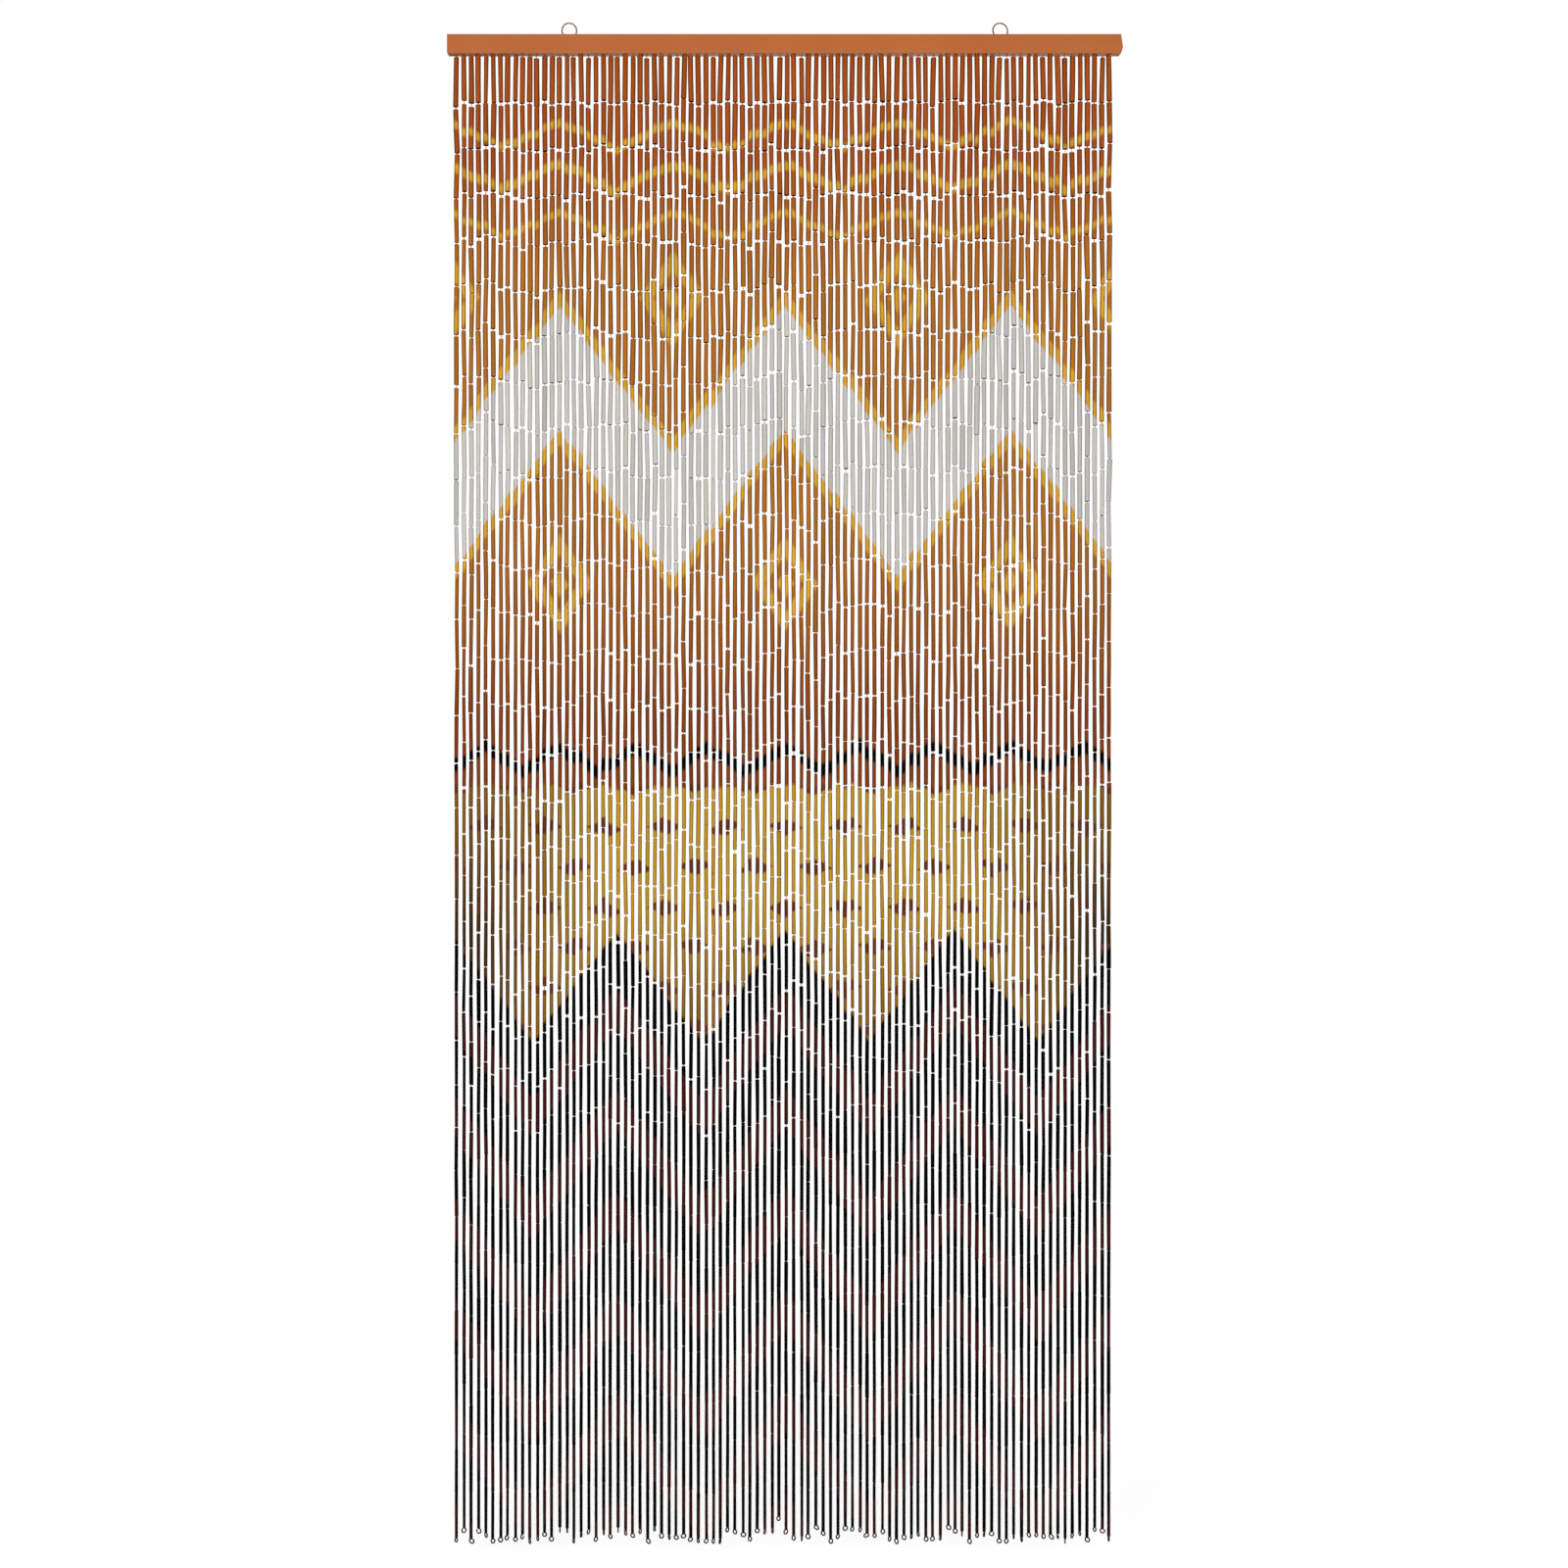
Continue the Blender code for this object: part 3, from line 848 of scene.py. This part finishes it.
def bead_finish():
    """Paint over bamboo, with painted shade on its sides, ends and hole. Off-white is told by its blue.
    """
    paint = Finish("painted_bamboo", Specular_IOR_Level=0.02)
    colour, spot = picture_at_point(paint)
    fibres = paint.stretched_noise(spot, BEAD_FIBRES, 3)
    brushed = paint.stretched_noise(spot, BEAD_BRUSH, 2)
    at_side = paint.own("at_side")
    blue = paint.node("ShaderNodeSeparateColor", None, {"Color": colour}, "Blue")
    pale_shade_cut = PALE_SIDE_SHADE_CUT * blue.rises(*PALE_BLUE)
    # Painted shade: each bead darker towards its left and right sides, less under the off-white.
    side_shade = 1 - PAINTED_SIDE_SHADE * at_side * at_side * (1 - pale_shade_cut)
    colour = paint.lighter(colour, (0.93 + 0.16 * brushed + 0.08 * fibres + paint.own("tone")) * side_shade)
    bare = paint.own("bare")
    # Painted shade on the cut ends and, near black, in the hole.
    colour = paint.mix(bare.rises(*BARE_FROM), colour, BAMBOO_END_AND_SHADE)
    colour = paint.mix(bare.rises(*HOLLOW_FROM), colour, HOLLOW_SHADE)
    paint.surface(colour=colour, roughness=0.50 + 0.16 * brushed + 0.3 * bare)
    paint.relief(0.7 * fibres + 0.5 * brushed, BEAD_RELIEF)
    return paint.material


bead_material = bead_finish()
print("bead finish has", len(bead_material.node_tree.nodes), "nodes")

# %% [markdown]
# Bamboo thins towards its tip, and the thin beads were used lower down, so the mean diameter falls
# from 7 mm to 4 mm, and the gaps between bead ends close towards the foot. Single beads and whole
# strands vary round those means. Each of these numbers is drawn for all beads at once, as an array
# with a row for each strand. The first bead of a strand hides the strip that stands for the staples
# on the solids, so it starts closer to the rail than its joint.

# %% Sizes of the beads
BEAD_DIAMETERS = (
    # joint number, mean bead diameter there
    (0, 7.2 * MM),
    (3, 6.8 * MM),
    (5, 6.5 * MM),
    (13, 5.55 * MM),
    (16, 5.3 * MM),
    (20, 4.95 * MM),
    (26, 4.85 * MM),
    (29, 4.65 * MM),
    (32, 4.2 * MM),
)
JOINT_GAPS = (
    # joint number, mean gap between bead ends there
    (1, 3.4 * MM),
    (4, 3.0 * MM),
    (8, 2.1 * MM),
    (12, 1.7 * MM),
    (21, 1.8 * MM),
    (23, 1.1 * MM),
    (24, 0.5 * MM),
    (31, 0.35 * MM),
)
GAP_SPREADS = (0.53, 0.45)
GAP_LIMITS = (0.3 * MM, 5.2 * MM)
DIAMETER_SPREAD = (0.075, 0.03)
STRAND_SPREAD = 0.035
SIDE_CLEARANCE = 0.3 * MM
WIDEST_BEAD = STRAND_PITCH - 2 * SWAY_LIMIT - SIDE_CLEARANCE
TOP_BEAD_RISE = 1.2 * MM
STRAND_SLIP, BEAD_SLIP = 2.2 * MM, 1.0 * MM
STRAND_TONE, BEAD_TONE = 0.03, 0.055
BOW_AT_TOP, BOW_AT_END = 0.19 * MM, 0.02 * MM
BEAD_SEED = 7

random = np.random.default_rng(BEAD_SEED)
joint_numbers = np.arange(BEADS + 1)
mean_gap = np.interp(joint_numbers, *zip(*JOINT_GAPS))
gap_spread = np.linspace(*GAP_SPREADS, BEADS + 1)
gaps = gap_spread * random.normal(0, 1, (STRANDS, BEADS + 1)) - gap_spread**2 / 2
gaps = np.clip(mean_gap * np.exp(gaps), *GAP_LIMITS)
gaps[:, 0] = 0
gaps[:, -1] = 0
bead_tops = joints[:, :-1] - gaps[:, :-1, None] / 2 * (0, 0, 1)
bead_feet = joints[:, 1:] + gaps[:, 1:, None] / 2 * (0, 0, 1)
bead_tops[:, 0, 2] += TOP_BEAD_RISE
mean_diameter = np.interp(joint_numbers[:-1] + 0.5, *zip(*BEAD_DIAMETERS))
spread = np.linspace(*DIAMETER_SPREAD, BEADS)
diameters = mean_diameter * np.exp(spread * random.normal(0, 1, (STRANDS, BEADS)))
diameters *= np.exp(random.normal(0, STRAND_SPREAD, (STRANDS, 1)))
diameters = np.minimum(diameters, WIDEST_BEAD)
slips = random.normal(0, STRAND_SLIP, (STRANDS, 1)) + random.normal(0, BEAD_SLIP, (STRANDS, BEADS))
tones = random.normal(0, BEAD_TONE, (STRANDS, BEADS)) + random.normal(0, STRAND_TONE, (STRANDS, 1))
# Painted shade along each bead's lower edge, strongest on the upper beads, none at the foot.
edge_marks = random.uniform(0, 1, (STRANDS, BEADS)) * np.linspace(1, 0, BEADS)
bow_sizes = random.normal(0, 1, (STRANDS, BEADS)) * np.linspace(BOW_AT_TOP, BOW_AT_END, BEADS)
print("mean bead length", round(1000 * (bead_tops - bead_feet)[:, :, 2].mean(), 2), "mm")

# %% [markdown]
# All beads are one calculation. Around its axis a bead is a circle, a little oval. Along its axis it
# is a short profile: hole, rim, rounded shoulder, the middle of the skin, the place where painted
# shade under the lower end begins, then shoulder, rim and hole again, and the hole's wall leads back
# to the start. The axis bows slightly, the saw cuts are a little askew, and a bead is thicker at one
# end than at the other. How bare the wood is and how much painted shade lies on it at each place of
# the profile is stored with the points.

# %% Shape of a bead
HOLE_SHARE = (0.56, 0.74)
SHOULDER = 0.5 * MM
RIM_INSET = 0.3 * MM
# length of the painted shade along a bead's lower edge
LOWER_SHADE_LENGTH = 1.5 * MM
TAPER = 0.03
OVAL = 0.035
END_SKEW = 0.25 * MM
BEAD_SIDES = 8
MIDDLE = 0.5
bead_angle = np.linspace(0, 2 * math.pi, BEAD_SIDES, endpoint=False)


def bead_grids(tops, feet, diameter, bow_size):
    """Points of bead, place on the profile, way round.

    point = axis(t) + radius * (1 + oval * cos(2 * (angle - turn))) * (cos(angle), sin(angle), 0)
    axis(t) = top + t * (foot - top) + bow * sin(pi * t), in a direction of its own for each bead
    """
    count = len(tops)
    length = np.linalg.norm(feet - tops, axis=-1)
    outer = diameter / 2
    hole = outer * random.uniform(*HOLE_SHARE, count)
    step = SHOULDER / length
    lower_shade_share = LOWER_SHADE_LENGTH / length
    taper = random.normal(0, TAPER, count)
    one = np.ones(count)
    share = [0 * one, 0 * one, step, MIDDLE * one, 1 - lower_shade_share, 1 - step, one, one]
    share = np.stack(share, axis=1)
    rim = outer - RIM_INSET
    radius = np.stack([hole, rim, outer, outer, outer, outer, rim, hole], axis=1)
    radius[:, 1:7] *= 1 + taper[:, None] * (2 * share[:, 1:7] - 1)
    turn = random.uniform(0, math.pi, (count, 1, 1))
    oval = random.normal(0, OVAL, (count, 1, 1))
    reach = radius[:, :, None] * (1 + oval * np.cos(2 * (bead_angle - turn)))
    bow_way = random.uniform(0, 2 * math.pi, count)
    bow = bow_size[:, None] * np.sin(math.pi * share)
    axis = tops[:, None] + share[..., None] * (feet - tops)[:, None]
    axis[..., 0] += bow * np.cos(bow_way)[:, None]
    axis[..., 1] += bow * np.sin(bow_way)[:, None]
    skew = random.normal(0, END_SKEW, (count, 2, 1, 1)) / outer[:, None, None, None]
    ends = np.stack([share < MIDDLE / 2, share > 1 - MIDDLE / 2], axis=1)[..., None]
    skew_way = random.uniform(0, 2 * math.pi, (count, 2, 1, 1))
    lift = (skew * ends * reach[:, None] * np.cos(bead_angle - skew_way)).sum(axis=1)
    grid = np.empty((*reach.shape, 3))
    grid[..., 0] = axis[:, :, None, 0] + reach * np.cos(bead_angle)
    grid[..., 1] = axis[:, :, None, 1] + reach * np.sin(bead_angle)
    grid[..., 2] = axis[:, :, None, 2] + lift
    return grid


def bare_and_shaded_profile(lower_shade):
    """How bare and shaded the bead is: 1 in the hole, 0.5 on the rims, painted lower-edge shade below."""
    covered = 0 * lower_shade
    hollow = covered + 1
    rim = covered + 0.5
    profile = [hollow, rim, covered, covered, covered, lower_shade, np.maximum(rim, lower_shade), hollow]
    return np.stack(profile, axis=1)[..., None]


print("a bead's profile has", len(bare_and_shaded_profile(edge_marks[:1, 0])[0]), "places")

# %% [markdown]
# Each third of the curtain is one mesh and takes the place of one solid. The points go round each
# bead backwards, so that the faces of this closed profile look outwards.

# %% Beads
for place, run in PANELS.items():
    tops, feet = bead_tops[run].reshape(-1, 3), bead_feet[run].reshape(-1, 3)
    grids = bead_grids(tops, feet, diameters[run].ravel(), bow_sizes[run].ravel())
    numbers = {
        "slip": slips[run].reshape(-1, 1, 1),
        "tone": tones[run].reshape(-1, 1, 1),
        "bare": bare_and_shaded_profile(edge_marks[run].ravel()),
        "at_side": np.abs(np.cos(bead_angle[::-1])),
    }
    beads = join_tubes("beads_" + place, grids[:, :, ::-1], bead_material, True, numbers)
    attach(beads, BODY)
    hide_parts("strands_" + place)

# %% [markdown]
# A piece of wire runs through each bead and is bent into a small eye at both ends, and the eyes of
# neighbouring wires hook into each other, a quarter turn apart, like a chain. Above the first bead
# the wire hooks into a staple in the rail. The wires were painted with the beads, but paint holds
# less well on wire, so dark steel shows through it in places.

# %% Wire finish
DARK_STEEL = (0.045, 0.036, 0.030)
DARK_TARNISH = (0.02, 0.013, 0.010)
LINK_CLOUDS = 300
LINK_PAINT_PATCHES = 170
LINK_PAINT = (0.40, 0.08)
THICK_PAINT = 1.1


def painted_wire_finish():
    """Steel in clouds of tarnish, and the picture's paint over it where the patches are high."""
    wire = Finish("painted_wire", Specular_IOR_Level=0.1)
    colour, spot = picture_at_point(wire)
    tarnish = wire.noise(spot, LINK_CLOUDS, 3)
    steel = wire.mix(tarnish.rises(0.5, 0.3), DARK_STEEL, DARK_TARNISH)
    painted = wire.noise(spot, LINK_PAINT_PATCHES, 2).rises(*LINK_PAINT)
    wire.surface(
        colour=wire.mix(painted, steel, wire.lighter(colour, THICK_PAINT)),
        roughness=0.42 + 0.15 * tarnish,
        metallic=0.4 - 0.4 * painted,
    )
    wire.relief(tarnish, WIRE_RELIEF)
    return wire.material


wire_material = painted_wire_finish()
print("wire finish has", len(wire_material.node_tree.nodes), "nodes")

# %% [markdown]
# A link is flat, so it is drawn in its own plane and then turned about the bead's axis. From its
# cut end the wire goes round the upper eye, down the axis and round the lower eye. Where two eyes
# hook together their wires touch, so the middle of the wire reaches half a wire above the joint in
# an upper eye, and half a wire below it in a lower one.

# %% Shape of a link
WIRE = 0.5 * MM
EYE_OUT = 0.70 * MM
EYE_TALL = 0.85 * MM
UPPER_EYE = (-50, 270)
LOWER_EYE = (90, 410)
LINK_SIDES = 4
LINK_STEPS = 8


def eye_arc(start, end, steps):
    """Points (out, up) of a small eye: half width * cos(angle), half height * sin(angle)."""
    angle = np.radians(np.linspace(start, end, steps + 1))
    return EYE_OUT * np.cos(angle), EYE_TALL * np.sin(angle)


def stand_in_plane(out, share, extra, tops, feet, turns):
    """Flat shapes stood up in space, each in the plane that its turn gives.

    point = top + share * (foot - top) + extra * (way up the strand) + out * (turned direction)
    """
    way = np.stack([np.cos(turns), np.sin(turns), 0 * turns], axis=1)
    along = (tops - feet) / np.linalg.norm(tops - feet, axis=1, keepdims=True)
    lines = tops[:, None] + share[..., None] * (feet - tops)[:, None]
    lines = lines + extra[..., None] * along[:, None] + out[..., None] * way[:, None]
    normals = np.stack([-np.sin(turns), np.cos(turns), 0 * turns], axis=1)
    return lines, normals


def link_lines(tops, feet, turns):
    """Lines of the links from tops to feet: the upper eye, then the lower one."""
    upper_out, upper_up = eye_arc(*UPPER_EYE, LINK_STEPS)
    lower_out, lower_up = eye_arc(*LOWER_EYE, LINK_STEPS)
    out = np.concatenate([upper_out, lower_out])
    share = np.concatenate([0 * upper_up, 0 * lower_up + 1])
    extra = np.concatenate([WIRE / 2 - EYE_TALL + upper_up, EYE_TALL - WIRE / 2 + lower_up])
    return stand_in_plane(out, share, extra, tops, feet, turns)


print("a link has", 2 * (LINK_STEPS + 1), "places of", LINK_SIDES, "sides")

# %% [markdown]
# The topmost link hooks into its staple, half way between the rail and the first joint, and every
# other one into the link above it, a quarter turn round. All the links but a strand's last are
# alike, and each third of the curtain has them in one mesh.

# %% Links
QUARTER_TURN = math.pi / 2
LINK_TURN_SPREAD = 0.35

staple_feet = joints[:, 0].copy()
staple_feet[:, 2] = (RAIL_UNDERSIDE + joints[:, 0, 2]) / 2
hooks = joints[:, :-1].copy()
hooks[:, 0] = staple_feet
link_turns = QUARTER_TURN * np.arange(BEADS) + random.normal(0, LINK_TURN_SPREAD, (STRANDS, BEADS))
link_turns += random.uniform(0, math.pi, (STRANDS, 1))

for place, run in PANELS.items():
    tops = hooks[run, :-1].reshape(-1, 3)
    feet = joints[run, 1:-1].reshape(-1, 3)
    lines, normals = link_lines(tops, feet, link_turns[run, :-1].ravel())
    grid = wire_grid(lines, normals, WIRE / 2, LINK_SIDES)
    numbers = {"slip": slips[run, :-1].reshape(-1, 1, 1)}
    links = join_tubes("links_" + place, grid, wire_material, numbers=numbers)
    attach(links, BODY)

# %% [markdown]
# The last wire of each strand ends in a larger open loop below its bead, bent by hand with pliers:
# some are round, some long, some not closed, and most lean out of line. They show clearly, so they
# have more steps and sides than the links.

# %% End loops
LOOP_WIRE = 2.0 * MM
LOOP_RADIUS = 2.95 * MM
LOOP_WIDTHS = (0.82, 1.04)
LOOP_HEIGHTS = (0.86, 1.06)
LOOP_SWEEP, SWEEP_SPREAD, LONGEST_SWEEP = 350, 16, 357
LOOP_LEAN_SPREAD = 0.16
LOOP_NECK = 0.35 * MM
STRAIGHT_ENDS = (12 * MM, 0.5 * MM)
LOOP_EYE_STEPS = 10
LOOP_SIDES = 8
LOOP_STEPS = 22

loop_width = LOOP_RADIUS * random.uniform(*LOOP_WIDTHS, STRANDS)
loop_height = LOOP_RADIUS * random.uniform(*LOOP_HEIGHTS, STRANDS)
loop_sweep = np.minimum(random.normal(LOOP_SWEEP, SWEEP_SPREAD, STRANDS), LONGEST_SWEEP)
loop_side = random.choice((-1, 1), STRANDS)
loop_lean = random.normal(0, LOOP_LEAN_SPREAD, STRANDS)


def end_link_lines(tops, feet, turns):
    """The upper eye, the straight wire through the last bead, and the loop below it.

    The loop is an ellipse from its top round by its sweep, pushed sideways by lean * height below
    the bead, to the left or the right of the axis.
    """
    column = np.zeros((len(tops), 1))
    upper_out, upper_up = (column + part for part in eye_arc(*UPPER_EYE, LOOP_EYE_STEPS))
    turn = np.radians(90 + loop_sweep[:, None] * np.linspace(0, 1, LOOP_STEPS + 1))
    lower_out = loop_side[:, None] * loop_width[:, None] * np.cos(turn)
    lower_up = loop_height[:, None] * (np.sin(turn) - 1) - LOOP_NECK
    lower_out = lower_out - loop_lean[:, None] * lower_up
    straight_up = column + STRAIGHT_ENDS
    out = np.concatenate([upper_out, 0 * straight_up, lower_out], axis=1)
    share = np.concatenate([0 * upper_up, 0 * straight_up + 1, 0 * lower_up + 1], axis=1)
    extra = np.concatenate([WIRE / 2 - EYE_TALL + upper_up, straight_up, lower_up], axis=1)
    return stand_in_plane(out, share, extra, tops, feet, turns)


lines, normals = end_link_lines(hooks[:, -1], joints[:, -1], loop_turn)
grid = wire_grid(lines, normals, LOOP_WIRE / 2, LOOP_SIDES)
end_slips = {"slip": slips[:, -1:, None]}
end_loops = join_tubes("end_loops", grid, wire_material, numbers=end_slips)
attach(end_loops, BODY)

# %% [markdown]
# Each strand hangs from a small staple, a bend of the same wire driven into the rail's underside.
# Only the foot of the bend shows.

# %% Staples
STAPLE_HALF_WIDTH = 1.1 * MM
STAPLE_DEPTH_IN_WOOD = 1.5 * MM
STAPLE_SIDES = 6
STAPLE_STEPS = 8

staple_turns = link_turns[:, 0] + QUARTER_TURN
half_turn = np.linspace(-math.pi, 0, STAPLE_STEPS + 1)
staple_drop = RAIL_UNDERSIDE - staple_feet[:, 2] + WIRE / 2
bend_out = STAPLE_HALF_WIDTH * np.cos(half_turn) + np.zeros((STRANDS, 1))
bend_up = staple_drop[:, None] * (np.sin(half_turn) + 1) - WIRE / 2
leg_out = np.full((STRANDS, 1), STAPLE_HALF_WIDTH)
leg_up = staple_drop[:, None] + STAPLE_DEPTH_IN_WOOD - WIRE / 2
staple_out = np.concatenate([-leg_out, bend_out, leg_out], axis=1)
staple_up = np.concatenate([leg_up, bend_up, leg_up], axis=1)
plumb_below = staple_feet - (0, 0, WIRE)
lines, normals = stand_in_plane(
    staple_out, 0 * staple_up, staple_up, staple_feet, plumb_below, staple_turns
)
grid = wire_grid(lines, normals, WIRE / 2, STAPLE_SIDES)
staple_slips = {"slip": slips[:, :1, None]}
staples = join_tubes("staples", grid, wire_material, numbers=staple_slips)
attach(staples, BODY)

# %% [markdown]
# The curtain is complete, and its box is printed.

# %% Measure and finish
dressed_box = [list(corner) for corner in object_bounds()]
for axis, low, high in zip("xyz", *dressed_box):
    print(axis, "from", round(low, 4), "to", round(high, 4))
